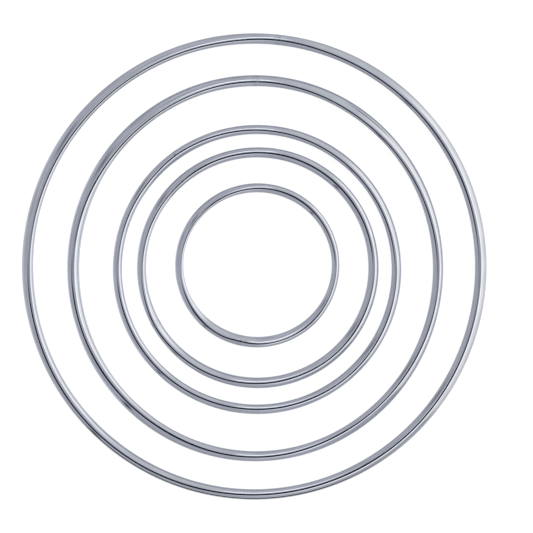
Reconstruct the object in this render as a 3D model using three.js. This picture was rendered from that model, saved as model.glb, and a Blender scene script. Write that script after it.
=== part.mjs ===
import * as THREE from 'three';

// A set of five loose rings for wreaths and other ring-based floristry, nested on one surface.
// Each ring is one length of round steel wire, bent round and closed by a butt weld, and plated.
// Millimetres, +Z up, origin on the surface under the middle of the largest ring.

// Driving dimensions of each ring.
// width and height: centre-line diameters along X and Y. wire: diameter of the wire.
// centre: where the ring's middle lies. weldAt: direction of the weld, degrees from +X.
const RINGS = [
  { name: 'smallest_ring', width: 53.1, height: 52.4, wire: 3.0, centre: [1.1, 0.5], weldAt: 257 },
  { name: 'second_ring', width: 78.7, height: 78.2, wire: 3.4, centre: [1.1, -0.4], weldAt: 209 },
  { name: 'middle_ring', width: 94.7, height: 94.9, wire: 3.2, centre: [0.9, -1.0], weldAt: 125 },
  { name: 'fourth_ring', width: 123.7, height: 127.4, wire: 3.7, centre: [0.5, -0.7], weldAt: 90 },
  { name: 'largest_ring', width: 153.7, height: 154.6, wire: 3.7, centre: [0, 0], weldAt: 84 },
];
const WELD_LENGTH = 1.4; // fused stretch along the centre line
const WELD_RISE = 0.08; // how far the bead stands proud of the wire at its sides
const SECTION_SIDES = 16; // flat faces round the wire, one of them underneath
const CHORD_ERROR = 0.06; // largest distance between a straight segment and the true arc
const WELD_STEPS = 2; // straight segments along a weld

const STEEL = { color: 0xa9acb5, roughness: 0.22, metalness: 1 };
const WELD_METAL = { color: 0x8f929b, roughness: 0.38, metalness: 1 };

// Part of a level oval, from one angle to another, anticlockwise seen from above.
class OvalArc extends THREE.Curve {
  constructor(radiusX, radiusY, startAngle, endAngle) {
    super();
    this.radiusX = radiusX;
    this.radiusY = radiusY;
    this.startAngle = startAngle;
    this.endAngle = endAngle;
  }

  angleAt(t) {
    return THREE.MathUtils.lerp(this.startAngle, this.endAngle, t);
  }

  getPoint(t, target = new THREE.Vector3()) {
    const angle = this.angleAt(t);
    return target.set(this.radiusX * Math.cos(angle), this.radiusY * Math.sin(angle), 0);
  }

  // The exact tangent, so that a wire and its weld end on the same plane.
  getTangent(t, target = new THREE.Vector3()) {
    const angle = this.angleAt(t);
    target.set(-this.radiusX * Math.sin(angle), this.radiusY * Math.cos(angle), 0);
    return target.normalize();
  }
}

// The wire's cross-section: a regular polygon round a circle, with a flat face straight down.
function wireSection(radius) {
  const cornerRadius = radius / Math.cos(Math.PI / SECTION_SIDES);
  const corners = [];
  for (let i = 0; i < SECTION_SIDES; i++) {
    const angle = ((i + 0.5) / SECTION_SIDES) * 2 * Math.PI;
    corners.push(new THREE.Vector2(cornerRadius * Math.cos(angle), cornerRadius * Math.sin(angle)));
  }
  return new THREE.Shape(corners);
}

function sweep(sectionRadius, path, steps) {
  return new THREE.ExtrudeGeometry(wireSection(sectionRadius), { steps, extrudePath: path });
}

function namedMesh(name, geometry, look) {
  const mesh = new THREE.Mesh(geometry, new THREE.MeshStandardMaterial(look));
  mesh.name = name;
  return mesh;
}

// The bent wire: almost a whole turn, from one side of the weld round to the other.
function ringWire(ring, weldAngle, weldSpan) {
  const radius = Math.max(ring.width, ring.height) / 2;
  const steps = Math.ceil(Math.PI / Math.acos(1 - CHORD_ERROR / radius));
  const start = weldAngle + weldSpan / 2;
  const path = new OvalArc(ring.width / 2, ring.height / 2, start, start + 2 * Math.PI - weldSpan);
  const mesh = namedMesh(`${ring.name}_wire`, sweep(ring.wire / 2, path, steps), STEEL);
  mesh.position.z = ring.wire / 2;
  return mesh;
}

// The weld: a short, slightly thicker stretch between the wire's two ends, level underneath.
function ringWeld(ring, weldAngle, weldSpan) {
  const start = weldAngle - weldSpan / 2;
  const path = new OvalArc(ring.width / 2, ring.height / 2, start, start + weldSpan);
  const beadRadius = ring.wire / 2 + WELD_RISE;
  const mesh = namedMesh(`${ring.name}_weld`, sweep(beadRadius, path, WELD_STEPS), WELD_METAL);
  mesh.position.z = beadRadius;
  return mesh;
}

function makeRing(ring) {
  const weldAngle = THREE.MathUtils.degToRad(ring.weldAt);
  const weldSpan = (2 * WELD_LENGTH) / ((ring.width + ring.height) / 2);
  const group = new THREE.Group();
  group.position.set(ring.centre[0], ring.centre[1], 0);
  group.add(ringWire(ring, weldAngle, weldSpan));
  group.add(ringWeld(ring, weldAngle, weldSpan));
  return group;
}

const ringSet = new THREE.Group();
for (const ring of RINGS) {
  ringSet.add(makeRing(ring));
}

export default ringSet;
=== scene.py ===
import math

import bpy
import numpy as np
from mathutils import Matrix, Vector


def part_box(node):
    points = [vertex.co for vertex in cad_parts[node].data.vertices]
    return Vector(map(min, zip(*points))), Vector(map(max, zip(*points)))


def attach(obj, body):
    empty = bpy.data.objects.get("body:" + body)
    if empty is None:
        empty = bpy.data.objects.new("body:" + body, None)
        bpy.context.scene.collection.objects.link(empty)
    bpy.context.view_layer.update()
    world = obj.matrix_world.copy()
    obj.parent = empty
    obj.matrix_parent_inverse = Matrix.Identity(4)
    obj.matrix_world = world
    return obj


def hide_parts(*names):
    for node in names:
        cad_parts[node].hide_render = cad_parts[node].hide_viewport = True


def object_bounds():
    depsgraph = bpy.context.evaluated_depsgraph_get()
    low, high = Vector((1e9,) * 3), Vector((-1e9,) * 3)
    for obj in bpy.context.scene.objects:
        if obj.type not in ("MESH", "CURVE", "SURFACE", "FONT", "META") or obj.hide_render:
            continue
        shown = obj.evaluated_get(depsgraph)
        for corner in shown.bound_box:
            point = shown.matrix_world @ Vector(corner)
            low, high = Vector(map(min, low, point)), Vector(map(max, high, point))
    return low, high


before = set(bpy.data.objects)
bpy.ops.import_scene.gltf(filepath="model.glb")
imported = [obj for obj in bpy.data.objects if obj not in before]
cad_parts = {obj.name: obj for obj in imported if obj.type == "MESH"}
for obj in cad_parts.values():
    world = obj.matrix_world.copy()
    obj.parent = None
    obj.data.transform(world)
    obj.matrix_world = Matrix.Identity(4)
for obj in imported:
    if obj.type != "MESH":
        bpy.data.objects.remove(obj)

MM = 0.001
DEGREES = 180 / math.pi
CAD_LOW, CAD_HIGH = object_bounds()

# Each ring's own small irregularities. seed: where its random draws start.
# The crown of a rolled wire leans a little outwards or inwards. lean: how far on average, as a
# share of the wire's radius. swings: how it changes round the ring, each as the number of times
# round, the size, and the direction in degrees where it leans out most. weld: how much further it
# leans at the weld, and the length of wire over which that fades. thick: the swings of the wire's
# thickness, as shares of it.
RINGS = {
    "smallest_ring": {"seed": 1, "lean": -0.05, "swings": ((1, 0.25, -30), (2, 0.2, 70)),
                      "weld": (-0.2, 4 * MM), "thick": ((1, 0.08, -100), (2, 0.12, 80))},
    "second_ring": {"seed": 2, "lean": 0.0, "swings": ((1, 0.05, 70), (2, 0.1, 50)),
                    "weld": (0.25, 8 * MM), "thick": ((1, 0.06, -20), (2, 0.04, 90))},
    "middle_ring": {"seed": 3, "lean": -0.1, "swings": ((1, 0.1, 140), (2, 0.1, -50)),
                    "weld": (0.15, 8 * MM), "thick": ((1, 0.04, -30),)},
    "fourth_ring": {"seed": 4, "lean": -0.2,
                    "swings": ((1, 0.1, -150), (2, 0.1, 0), (4, 0.2, 0), (6, 0.05, -30)),
                    "weld": (0.0, 8 * MM), "thick": ((1, 0.08, 150), (2, 0.02, 0))},
    "largest_ring": {"seed": 5, "lean": -0.2, "swings": ((1, 0.1, -110), (2, 0.1, 50)),
                     "weld": (0.3, 15 * MM), "thick": ((1, 0.02, 10), (2, 0.04, 0))},
}


# ---------------------------------------------------------------- ring shapes

STEP_ALONG = 0.45 * MM       # length of one mesh cell along a wire
CELLS_AROUND = 48            # mesh cells round a wire
WELD_LENGTH = 1.4 * MM       # fused stretch between the two ends of a wire
SHOULDER = 6                 # how suddenly a bulging crown ends at the side: a power of the cosine
DRAW_LINES = 0.0022 * MM     # depth of the lines that the drawing die leaves
LINE_WAVES = range(9, 22)    # how many of those lines there are round a wire
WAVINESS = 0.004 * MM        # slow unevenness of the wire's thickness
SLOW_WAVES = range(3, 17)    # how often that comes and goes round a ring

BEAD_CELLS = 40              # mesh cells along a bead
BEAD_OVERLAP = 0.35 * MM     # how far a bead laps over each end of its wire
BEAD_RISE = 0.012 * MM       # how proud the bead stands at its crown
LAP_RISE = 0.003 * MM        # how proud it stands where it laps the wire
BEAD_UNEVENNESS = 0.35       # share of the rise by which it varies round the wire
BEAD_WAVES = range(2, 9)     # how often that comes and goes round the wire
DRESSED_HEIGHT = 0.35        # how far up from underneath the bead was dressed, in wire radii
DRESSED_SHARE = 0.1          # share of the rise that dressing left

LINE_SEED, SLOW_SEED, BEAD_SEED = 40, 80, 120   # added to a ring's seed, so that its draws differ

# the angle of each vertex round a wire: from the outer side over the top
AROUND = np.arange(CELLS_AROUND) / CELLS_AROUND * 2 * math.pi


class Ring:
    """One ring's true sizes, read from its two CAD nodes."""

    def __init__(self, name):
        self.name = name
        self.own = RINGS[name]
        self.seed = self.own["seed"]
        low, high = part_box(name + "_wire")
        self.wire_radius = (high[2] - low[2]) / 2
        self.centre = ((low[0] + high[0]) / 2, (low[1] + high[1]) / 2)
        self.radius_x = (high[0] - low[0]) / 2 - self.wire_radius
        self.radius_y = (high[1] - low[1]) / 2 - self.wire_radius
        low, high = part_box(name + "_weld")
        weld_x = (low[0] + high[0]) / 2 - self.centre[0]
        weld_y = (low[1] + high[1]) / 2 - self.centre[1]
        self.weld_angle = math.atan2(weld_y / self.radius_y, weld_x / self.radius_x)
        self.mean_radius = (self.radius_x + self.radius_y) / 2

    def angle_of(self, length):
        """The angle round the ring that a length of wire covers."""
        return length / self.mean_radius

    def swing(self, angles, swings):
        """The sum of some waves round the ring, each with its number, its size and a peak's direction."""
        total = 0
        for times, size, direction in swings:
            total = total + size * np.cos(times * (angles - math.radians(direction)))
        return total

    def from_weld(self, angles):
        """The angle from the weld, from minus half a turn to half a turn."""
        return (angles - self.weld_angle + math.pi) % (2 * math.pi) - math.pi

    def thickness(self, angles):
        """The wire's radius at each angle round the ring."""
        return self.wire_radius * (1 + self.swing(angles, self.own["thick"]))

    def lean(self, angles):
        """How far the crown leans at each angle round the ring."""
        at_weld, length = self.own["weld"]
        near_weld = np.exp(-(self.from_weld(angles) / self.angle_of(length)) ** 2)
        return self.own["lean"] + self.swing(angles, self.own["swings"]) + at_weld * near_weld


def smooth_noise(angles, waves, seed):
    """A smooth wander between about -1 and 1 that repeats after one turn."""
    rng = np.random.default_rng(seed)
    total = np.zeros_like(angles)
    for wave in waves:
        size = rng.normal() / math.sqrt(len(waves))
        total += size * np.cos(wave * angles + rng.uniform(0, 2 * math.pi))
    return total


def sweep_mesh(name, ring, angles, radii, heights):
    """A closed mesh along a ring: a circle of vertices at each angle, and a pole at each end.

    radii holds one row for each angle and one column for each vertex round the wire. heights
    holds the centre line's height at each angle."""
    centre_x = ring.centre[0] + ring.radius_x * np.cos(angles)
    centre_y = ring.centre[1] + ring.radius_y * np.sin(angles)
    out_x = np.cos(angles) / ring.radius_x
    out_y = np.sin(angles) / ring.radius_y
    out_length = np.hypot(out_x, out_y)
    out_x, out_y = out_x / out_length, out_y / out_length
    sideways = radii * np.cos(AROUND)
    points = np.stack([
        centre_x[:, None] + sideways * out_x[:, None],
        centre_y[:, None] + sideways * out_y[:, None],
        heights[:, None] + radii * np.sin(AROUND),
    ], axis=-1).reshape(-1, 3)
    poles = np.array([[centre_x[i], centre_y[i], heights[i]] for i in (0, -1)])
    vertices = np.concatenate([points, poles])
    rows = len(angles)
    first_pole, last_pole = rows * CELLS_AROUND, rows * CELLS_AROUND + 1
    faces = []
    for row in range(rows - 1):
        for cell in range(CELLS_AROUND):
            here = row * CELLS_AROUND + cell
            beside = row * CELLS_AROUND + (cell + 1) % CELLS_AROUND
            faces.append((here, here + CELLS_AROUND, beside + CELLS_AROUND, beside))
    last_row = (rows - 1) * CELLS_AROUND
    for cell in range(CELLS_AROUND):
        beside = (cell + 1) % CELLS_AROUND
        faces.append((first_pole, cell, beside))
        faces.append((last_pole, last_row + beside, last_row + cell))
    mesh = bpy.data.meshes.new(name)
    mesh.from_pydata(vertices.tolist(), [], faces)
    mesh.update()
    mesh.shade_smooth()
    add_wire_coordinates(mesh, ring, angles, rows)
    piece = bpy.data.objects.new(name, mesh)
    bpy.context.collection.objects.link(piece)
    return piece


def add_wire_coordinates(mesh, ring, angles, rows):
    """Stores on each vertex, in metres, its place along the wire from the weld and its place round it."""
    along = np.repeat(ring.from_weld(angles) * ring.mean_radius, CELLS_AROUND)
    along = np.concatenate([along, along[[0, -1]]])
    cosine = np.concatenate([np.tile(np.cos(AROUND), rows), [0, 0]]) * ring.wire_radius
    sine = np.concatenate([np.tile(np.sin(AROUND), rows), [0, 0]]) * ring.wire_radius
    place = mesh.attributes.new("wire_place", "FLOAT_VECTOR", "POINT")
    place.data.foreach_set("vector", np.stack([along, cosine, sine], axis=-1).astype(np.float32).ravel())


def section(ring, angles):
    """How far each vertex lies from the centre line: the wire's thickness, and its leaning crown.

    The crown bulges right down to the shoulder on the side it leans to, and less far on the other."""
    bulging = np.where(np.sin(AROUND) > 0, np.cos(AROUND) * (1 - np.cos(AROUND) ** SHOULDER), 0)
    hollow = np.sin(2 * AROUND) * (1 + np.sin(AROUND)) / 4
    lean = ring.lean(angles)[:, None]
    crown = np.where(lean * np.cos(AROUND) > 0, bulging[None, :], hollow[None, :])
    return ring.thickness(angles)[:, None] * (1 + lean * crown)


def wire_radii(ring, angles):
    """The section with its drawn lines and with slow waves in its thickness."""
    lines = smooth_noise(AROUND, LINE_WAVES, ring.seed + LINE_SEED)
    slow = smooth_noise(angles, SLOW_WAVES, ring.seed + SLOW_SEED)
    return section(ring, angles) + DRAW_LINES * lines[None, :] + WAVINESS * slow[:, None]


def make_wire(ring):
    """The bent wire, from one side of the weld round to the other."""
    half_gap = ring.angle_of(WELD_LENGTH / 2)
    cells = round(2 * math.pi * ring.mean_radius / STEP_ALONG)
    start = ring.weld_angle + half_gap
    angles = np.linspace(start, start + 2 * math.pi - 2 * half_gap, cells)
    radii = wire_radii(ring, angles)
    piece = sweep_mesh(ring.name + "_bent_wire", ring, angles, radii, ring.thickness(angles))
    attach(piece, ring.name)
    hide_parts(ring.name + "_wire")
    return piece


def make_bead(ring):
    """The weld: a low, uneven crown of metal, almost flush underneath where it was dressed."""
    half = WELD_LENGTH / 2 + BEAD_OVERLAP
    across = np.linspace(-1, 1, BEAD_CELLS)
    angles = ring.weld_angle + across * ring.angle_of(half)
    crown = np.cos(across * math.pi / 2) ** 2
    uneven = 1 + BEAD_UNEVENNESS * smooth_noise(AROUND, BEAD_WAVES, ring.seed + BEAD_SEED)
    rise = LAP_RISE + BEAD_RISE * crown[:, None] * uneven[None, :]
    undressed = np.clip((np.sin(AROUND) + 1) / DRESSED_HEIGHT, 0, 1)
    radii = section(ring, angles) + rise * (DRESSED_SHARE + (1 - DRESSED_SHARE) * undressed[None, :])
    piece = sweep_mesh(ring.name + "_weld_bead", ring, angles, radii, ring.thickness(angles))
    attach(piece, ring.name)
    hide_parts(ring.name + "_weld")
    return piece


# ---------------------------------------------------------------- node helper

class Graph:
    """Short calls for the nodes of one node tree. Each returns the output socket of the node it makes."""

    def __init__(self, tree):
        self.tree = tree
        self.tree.nodes.clear()

    def node(self, kind, inputs=(), output=0, **settings):
        made = self.tree.nodes.new(kind)
        for key, value in settings.items():
            setattr(made, key, value)
        for key, value in dict(inputs).items():
            self.feed(made.inputs[key], value)
        return made.outputs[output] if len(made.outputs) else None

    def feed(self, socket, value):
        if isinstance(value, bpy.types.NodeSocket):
            self.tree.links.new(value, socket)
        elif value is not None:
            socket.default_value = value

    def math(self, operation, a, b=None):
        made = self.tree.nodes.new("ShaderNodeMath")
        made.operation = operation
        self.feed(made.inputs[0], a)
        self.feed(made.inputs[1], b)
        return made.outputs[0]

    def bearing(self, sideways, ahead):
        """The angle in degrees between straight ahead and a point so far ahead and so far sideways."""
        return self.math("MULTIPLY", self.math("ARCTAN2", sideways, ahead), DEGREES)

    def step(self, value, low, high):
        """0 at low and 1 at high with a smooth change between, or the other way if high is lower."""
        return self.node("ShaderNodeMapRange", {"Value": value, "From Min": low, "From Max": high},
                         interpolation_type="SMOOTHSTEP")

    def between(self, value, low, high, soft):
        """1 between low and high, falling to 0 over a soft edge centred on each."""
        rise = self.step(value, low - soft / 2, low + soft / 2)
        fall = self.step(value, high + soft / 2, high - soft / 2)
        return self.math("MULTIPLY", rise, fall)

    def mix(self, factor, a, b):
        """The color a where the factor is 0, and b where it is 1."""
        made = self.tree.nodes.new("ShaderNodeMix")
        made.data_type = "RGBA"
        self.feed(made.inputs[0], factor)
        self.feed(made.inputs[6], a)
        self.feed(made.inputs[7], b)
        return made.outputs[2]


def new_material(name):
    material = bpy.data.materials.new(name)
    material.use_nodes = True
    return material, Graph(material.node_tree)


# ---------------------------------------------------------------- materials

NOISE_LOW, NOISE_HIGH = 0.3, 0.7    # the range that a noise texture mostly keeps to
# about how many waves a texture has in each metre: along the wire, and twice across it
LINE_SCALE = (60, 9000, 9000)
BLOTCH_SCALE = (180, 500, 500)
GRAIN_SCALE = (3000, 3000, 3000)
ZINC_TINTS = ((0.575, 0.605, 0.685, 1), (0.625, 0.655, 0.735, 1))
ZINC_ROUGHNESS = (0.04, 0.07)
WELD_TINTS = ((0.52, 0.55, 0.62, 1), (0.60, 0.63, 0.71, 1))
WELD_ROUGHNESS = (0.06, 0.12)
LINE_RELIEF = (0.06, 0.02 * MM)     # strength and depth
GRAIN_RELIEF = (0.15, 0.03 * MM)


def wire_noise(g, scale, detail):
    """Noise that is laid out along and round a wire, so that it follows the ring."""
    place = g.node("ShaderNodeAttribute", output="Vector", attribute_name="wire_place")
    scaled = g.node("ShaderNodeVectorMath", {0: place, 1: scale}, operation="MULTIPLY")
    return g.node("ShaderNodeTexNoise", {"Vector": scaled, "Scale": 1.0, "Detail": detail})


def metal_shader(g, uneven, tints, roughness, relief, strength, depth):
    """Metal whose tint and roughness follow one noise, and whose relief follows another."""
    tint = g.mix(g.step(uneven, NOISE_LOW, NOISE_HIGH), *tints)
    rough = g.node("ShaderNodeMapRange", {"Value": uneven, "From Min": NOISE_LOW, "From Max": NOISE_HIGH,
                                          "To Min": roughness[0], "To Max": roughness[1]})
    bump = g.node("ShaderNodeBump", {"Height": relief, "Strength": strength, "Distance": depth})
    shader = g.node("ShaderNodeBsdfPrincipled", {"Base Color": tint, "Roughness": rough,
                                                 "Metallic": 1.0, "Normal": bump})
    g.node("ShaderNodeOutputMaterial", {"Surface": shader})


def plated_wire():
    """Bright zinc plate: faint blotches, and fine lines along the wire."""
    material, g = new_material("bright_zinc_plate")
    lines = wire_noise(g, LINE_SCALE, detail=4.0)
    blotches = wire_noise(g, BLOTCH_SCALE, detail=3.0)
    metal_shader(g, blotches, ZINC_TINTS, ZINC_ROUGHNESS, lines, *LINE_RELIEF)
    return material


def weld_metal():
    """The plated weld: duller, with a fine grain."""
    material, g = new_material("plated_weld")
    grain = wire_noise(g, GRAIN_SCALE, detail=5.0)
    metal_shader(g, grain, WELD_TINTS, WELD_ROUGHNESS, grain, *GRAIN_RELIEF)
    return material


# ---------------------------------------------------------------- floor, surroundings and camera

FLOOR_HALF = 3.0             # metres
FLOOR_DROP = 0.02 * MM       # how far the floor lies below the wires
FLOOR_GREY = 0.51            # how bright the floor looks in the wires
FLOOR_BRIGHT = 0.85          # the same to the left and to the right of the middle
SHADE_START = 5.5 * MM       # how far outside the largest ring the floor turns darker
SHADE_SOFTNESS = 0.8 * MM    # over what distance it does
SHADE_AZIMUTHS = (-142, -60, 30)   # between which directions, and over how many degrees it fades
SHADE_GREY = 0.02
LIT_AZIMUTHS = (-36, 46, 16)       # the same for the brighter floor, and for the side opposite
RIGHT_LIT_SHARE = 0.3        # how much of the extra brightness there is on the right
LIT_CHANGE = 20 * MM         # how far to the right of the middle it has fallen to that
SECOND_GLOW = 0.9            # how much brighter the floor looks in a wire that is itself seen in a wire
ONCE_MIRRORED = 1.5          # deeper rays than this were mirrored at least twice before the floor
FLOOR_SHEEN = 0.45           # how much the floor mirrors the surroundings where the wires mirror it
SHEEN_ROUGHNESS = 0.15
BLUE_CAST = 1.03             # how much stronger the floor's blue is in the wires
PAPER_GREY = 0.35            # to the camera: how much light the floor scatters
PAPER_GLOW = 0.85            # to the camera: how much light it gives off


def grey_tint(grey, blue_cast=1):
    """A grey as a color, with its blue made stronger where there is a cast."""
    return (grey, grey, grey * blue_cast, 1)


def make_floor():
    """White to the camera, and a lit grey in the wires, with a darker stretch beyond the front left."""
    mesh = bpy.data.meshes.new("floor")
    signs = ((-1, -1), (1, -1), (1, 1), (-1, 1))
    corners = [(x * FLOOR_HALF, y * FLOOR_HALF, -FLOOR_DROP) for x, y in signs]
    mesh.from_pydata(corners, [], [(0, 1, 2, 3)])
    floor = bpy.data.objects.new("floor", mesh)
    bpy.context.collection.objects.link(floor)
    material, g = new_material("white_floor")
    place = g.node("ShaderNodeNewGeometry", output="Position")
    split = g.tree.nodes.new("ShaderNodeSeparateXYZ")
    g.feed(split.inputs[0], place)
    x, y, _ = split.outputs
    azimuth = g.bearing(y, x)
    distance = g.node("ShaderNodeVectorMath", {0: place}, output="Value", operation="LENGTH")
    rim = (CAD_HIGH.x - CAD_LOW.x) / 2 + SHADE_START
    beyond_rim = g.step(distance, rim, rim + SHADE_SOFTNESS)
    shaded = g.math("MULTIPLY", g.between(azimuth, *SHADE_AZIMUTHS), beyond_rim)
    off_axis = g.math("MULTIPLY", g.math("ARCTANGENT", g.math("DIVIDE", y, x)), DEGREES)
    left = g.node("ShaderNodeMapRange", {"Value": x, "From Min": LIT_CHANGE, "From Max": -LIT_CHANGE,
                                         "To Min": RIGHT_LIT_SHARE, "To Max": 1.0})
    lit_sides = g.math("MULTIPLY", g.between(off_axis, *LIT_AZIMUTHS), left)
    ground = g.mix(lit_sides, grey_tint(FLOOR_GREY, BLUE_CAST), grey_tint(FLOOR_BRIGHT, BLUE_CAST))
    seen_in_wires = g.mix(shaded, ground, grey_tint(SHADE_GREY, BLUE_CAST))
    depth = g.node("ShaderNodeLightPath", output="Ray Depth")
    mirrored_twice = g.math("GREATER_THAN", depth, ONCE_MIRRORED)
    strength = g.math("ADD", 1.0, g.math("MULTIPLY", mirrored_twice, SECOND_GLOW))
    lit = g.node("ShaderNodeEmission", {"Color": seen_in_wires, "Strength": strength})
    sheen = g.node("ShaderNodeBsdfGlossy", {"Color": grey_tint(1), "Roughness": SHEEN_ROUGHNESS})
    mirrored = g.math("MULTIPLY", g.math("SUBTRACT", 1, shaded), FLOOR_SHEEN)
    reflected = g.node("ShaderNodeMixShader", {0: mirrored, 1: lit, 2: sheen})
    paper = g.node("ShaderNodeBsdfDiffuse", {"Color": grey_tint(PAPER_GREY)})
    glow = g.node("ShaderNodeEmission", {"Color": grey_tint(1), "Strength": PAPER_GLOW})
    direct = g.node("ShaderNodeAddShader", {0: paper, 1: glow})
    seen = g.node("ShaderNodeLightPath", output="Is Camera Ray")
    look = g.node("ShaderNodeMixShader", {0: seen, 1: reflected, 2: direct})
    g.node("ShaderNodeOutputMaterial", {"Surface": look})
    mesh.materials.append(material)


WALL_FOLD = (0.49, 0.49, 0.51, 1)
WALL_CREST = (0.65, 0.65, 0.67, 1)
GLOW = (0.76, 0.76, 0.75, 1)
PANEL = (1.38, 1.34, 1.25, 1)
PANEL_FOOT = (1.03, 1.00, 0.95, 1)
PANEL_SHADE = (1.00, 0.97, 0.92, 1)
DIM_PANEL = (1.10, 1.10, 1.08, 1)
SKIRTING = (0.40, 0.40, 0.41, 1)
PEAK = (1.65, 1.60, 1.50, 1)
DARK = (0.01, 0.016, 0.036, 1)
WINDOW = (1.80, 1.80, 1.78, 1)

# The tent's shapes. All angles are in degrees: azimuth from +X anticlockwise, polar from the zenith.
# Three angles are where something starts and ends, and over how many degrees it fades at each end.
# Two angles are where something is still absent, and where it is full.
SLIT_TOP = 14                  # polar angle of the slit's middle where it is nearest the zenith
SLIT_DIP = 19                  # how much lower its middle lies at the corners
SLIT_DIP_LESS = 4              # how much less than that to the right of the front
SLIT_DIP_CHANGE = (-100, -80)  # azimuths between which it becomes that much less
SLIT_START, SLIT_END = (-98, -76), (110, 58)   # from the front, anticlockwise
SLIT_EDGE = (2, -2)
SLIT_HALF_WIDTH = 15
SLIT_WIDENINGS = (((-150, -25, 14), 1.6), ((-106, -78, 12), 2.4))   # range and how much wider each half
PANEL_TOP = 38                 # polar angle of the bright side's upper edge, on its right
PANEL_TOP_RISE = 13            # how much nearer the zenith it is on its left
PANEL_TOP_CHANGE = (2, 18)     # azimuths between which it gets there
PANEL_START, PANEL_END = (-43.5, -40.5), (56, 40)
PANEL_EDGE = (-5, 7)
PANEL_FADE = (38, 106)         # polar angles between which the bright side turns to its foot
PANEL_SHADE_AZIMUTHS, PANEL_SHADE_POLARS = (2, -40), (40, 80)
GLOW_START, GLOW_END = (40, 48), (105, 58)
DIM_START, DIM_END = (-112, -70), (-30, -40)
DIM_BEYOND_SLIT = (-26, 36, 10)
GLINT_AZIMUTHS, GLINT_BEYOND_SLIT = (-74, -40, 12), (8, 26, 8)
PEAK_BEYOND_EDGE, PEAK_AZIMUTHS = (-2, 16, 10), (34, 10)
# skirtings: range of azimuths (on the left from -X, clockwise), range of polar angles, darkness
FRONT_SKIRTING = ((-84, -40, 8), (72, 97, 12), 0.5)
LEFT_SKIRTING = ((-50, 30, 20), (64, 110, 16), 0.3)
WINDOW_START, WINDOW_END, WINDOW_POLARS = (79, 86), (128, 100), (14, 27, 6)
# seams: azimuth, upper and lower end, width, darkness, and how much the ends rise for each degree
SEAMS = ((146, 26, 68, 8, 0.5, 2.0), (-134, 62, 106, 3, 0.85, 0.0), (-41, 74, 96, 4, 0.5, 0.0))
SEAM_SOFTNESS = 16
FOLD_SCALE = 3.0               # how often the walls fold
FOLD_EDGE = (0.35, 0.65)       # values of the noise at a fold and at a crest
BACKDROP = grey_tint(0.93)


def roof_slit(g, azimuth, polar):
    """How far down from the slit's middle a direction lies, and the slit itself.

    The slit dips towards the two front corners and nears the zenith between them."""
    double = g.math("MULTIPLY", azimuth, 2 / DEGREES)
    dip = g.math("POWER", g.math("ABSOLUTE", g.math("SINE", double)), 2.0)
    less = g.math("MULTIPLY", g.step(azimuth, *SLIT_DIP_CHANGE), SLIT_DIP_LESS)
    depth = g.math("SUBTRACT", SLIT_DIP, less)
    middle = g.math("ADD", g.math("MULTIPLY", dip, depth), SLIT_TOP)
    half_width = SLIT_HALF_WIDTH
    for azimuths, extra in SLIT_WIDENINGS:
        wider = g.math("MULTIPLY", g.between(azimuth, *azimuths), extra)
        half_width = g.math("ADD", wider, half_width)
    beyond = g.math("SUBTRACT", polar, middle)
    off_slit = g.math("SUBTRACT", g.math("ABSOLUTE", beyond), half_width)
    return beyond, g.step(off_slit, *SLIT_EDGE)


def tent_walls(g, direction, azimuth, polar, from_left, beyond_slit):
    """Grey folded walls with two skirtings, lighter at the back right and again at the front."""
    folds = g.node("ShaderNodeTexNoise", {"Vector": direction, "Scale": FOLD_SCALE, "Detail": 2.0})
    color = g.mix(g.step(folds, *FOLD_EDGE), WALL_FOLD, WALL_CREST)
    glow = g.math("MULTIPLY", g.step(azimuth, *GLOW_START), g.step(azimuth, *GLOW_END))
    color = g.mix(glow, color, GLOW)
    dim = g.math("MULTIPLY", g.step(azimuth, *DIM_START), g.step(azimuth, *DIM_END))
    dim = g.math("MULTIPLY", dim, g.between(beyond_slit, *DIM_BEYOND_SLIT))
    color = g.mix(dim, color, DIM_PANEL)
    for around, (azimuths, polars, darkness) in ((azimuth, FRONT_SKIRTING), (from_left, LEFT_SKIRTING)):
        skirting = g.math("MULTIPLY", g.between(around, *azimuths), g.between(polar, *polars))
        color = g.mix(g.math("MULTIPLY", skirting, darkness), color, SKIRTING)
    return color


def add_bright_side(g, color, azimuth, polar):
    """The tent's bright right side. Its upper edge is brightest, and nears the zenith on its left."""
    rise = g.math("MULTIPLY", g.step(azimuth, *PANEL_TOP_CHANGE), PANEL_TOP_RISE)
    edge = g.math("SUBTRACT", PANEL_TOP, rise)
    below_edge = g.math("SUBTRACT", polar, edge)
    bright = g.math("MULTIPLY", g.step(azimuth, *PANEL_START), g.step(azimuth, *PANEL_END))
    bright = g.math("MULTIPLY", bright, g.step(below_edge, *PANEL_EDGE))
    fade = g.node("ShaderNodeMapRange", {"Value": polar, "From Min": PANEL_FADE[0],
                                         "From Max": PANEL_FADE[1]})
    panel = g.mix(fade, PANEL, PANEL_FOOT)
    fall = g.math("MULTIPLY", g.step(azimuth, *PANEL_SHADE_AZIMUTHS), g.step(polar, *PANEL_SHADE_POLARS))
    panel = g.mix(fall, panel, PANEL_SHADE)
    peak = g.math("MULTIPLY", g.between(below_edge, *PEAK_BEYOND_EDGE), g.step(azimuth, *PEAK_AZIMUTHS))
    panel = g.mix(peak, panel, PEAK)
    return g.mix(bright, color, panel)


def add_seams(g, color, azimuth, polar):
    """Dark seams in the walls, upright or slanting."""
    for corner, upper, lower, width, darkness, slant in SEAMS:
        slope = g.math("MULTIPLY", g.math("SUBTRACT", azimuth, corner), slant)
        across = g.between(azimuth, corner - width / 2, corner + width / 2, width)
        along = g.between(g.math("ADD", polar, slope), upper, lower, SEAM_SOFTNESS)
        seam = g.math("MULTIPLY", across, along)
        color = g.mix(g.math("MULTIPLY", seam, darkness), color, DARK)
    return color


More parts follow.
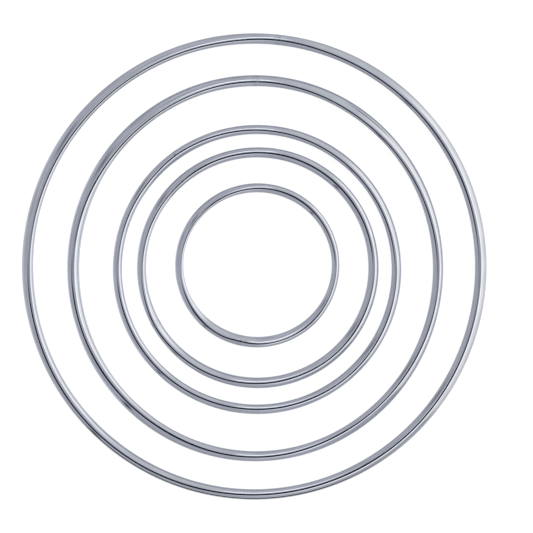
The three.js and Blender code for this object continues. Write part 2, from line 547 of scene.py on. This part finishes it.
def make_surroundings():
    """A light tent: grey walls, one bright side, a dark slit in its roof, and a small window."""
    world = bpy.data.worlds.new("light_tent")
    world.use_nodes = True
    bpy.context.scene.world = world
    g = Graph(world.node_tree)
    direction = g.node("ShaderNodeTexCoord", output="Generated")
    split = g.tree.nodes.new("ShaderNodeSeparateXYZ")
    g.feed(split.inputs[0], direction)
    x, y, z = split.outputs
    azimuth = g.bearing(y, x)
    from_front = g.bearing(x, g.math("MULTIPLY", y, -1))
    from_left = g.bearing(y, g.math("MULTIPLY", x, -1))
    polar = g.math("MULTIPLY", g.math("ARCCOSINE", z), DEGREES)

    beyond_slit, slit = roof_slit(g, azimuth, polar)
    color = tent_walls(g, direction, azimuth, polar, from_left, beyond_slit)
    color = add_bright_side(g, color, azimuth, polar)
    past_slit = g.between(beyond_slit, *GLINT_BEYOND_SLIT)
    glint = g.math("MULTIPLY", g.between(azimuth, *GLINT_AZIMUTHS), past_slit)
    color = g.mix(glint, color, PEAK)
    front = g.math("MULTIPLY", g.step(from_front, *SLIT_START), g.step(from_front, *SLIT_END))
    color = g.mix(g.math("MULTIPLY", slit, front), color, DARK)
    color = add_seams(g, color, azimuth, polar)
    window = g.math("MULTIPLY", g.step(azimuth, *WINDOW_START), g.step(azimuth, *WINDOW_END))
    window = g.math("MULTIPLY", window, g.between(polar, *WINDOW_POLARS))
    color = g.mix(window, color, WINDOW)

    seen = g.node("ShaderNodeLightPath", output="Is Camera Ray")
    color = g.mix(seen, color, BACKDROP)
    background = g.node("ShaderNodeBackground", {"Color": color, "Strength": 1.0})
    g.node("ShaderNodeOutputWorld", {"Surface": background})


CAMERA_HEIGHT = 1.0           # metres above the middle of the wires
VIEW_WIDTH = 180.7 * MM       # width of the floor that the picture takes in, at the wires' height
VIEW_OFFSET = (4.17 * MM, -0.03 * MM)   # the picture's middle, from the middle of the largest ring
SENSOR_WIDTH = 36             # millimetres, as Blender counts it


def make_camera():
    """A long lens high above the rings, looking straight down."""
    lens = bpy.data.cameras.new("camera")
    camera = bpy.data.objects.new("camera", lens)
    bpy.context.collection.objects.link(camera)
    lens.sensor_width = SENSOR_WIDTH
    lens.lens = lens.sensor_width * CAMERA_HEIGHT / VIEW_WIDTH
    middle = (CAD_LOW + CAD_HIGH) / 2
    camera.location = (middle.x + VIEW_OFFSET[0], middle.y + VIEW_OFFSET[1], middle.z + CAMERA_HEIGHT)
    bpy.context.scene.camera = camera


# ---------------------------------------------------------------- the scene

wire_look, weld_look = plated_wire(), weld_metal()
for ring_name in RINGS:
    ring = Ring(ring_name)
    make_wire(ring).data.materials.append(wire_look)
    make_bead(ring).data.materials.append(weld_look)
make_floor()
make_surroundings()
make_camera()
bpy.context.scene.view_settings.view_transform = "Standard"
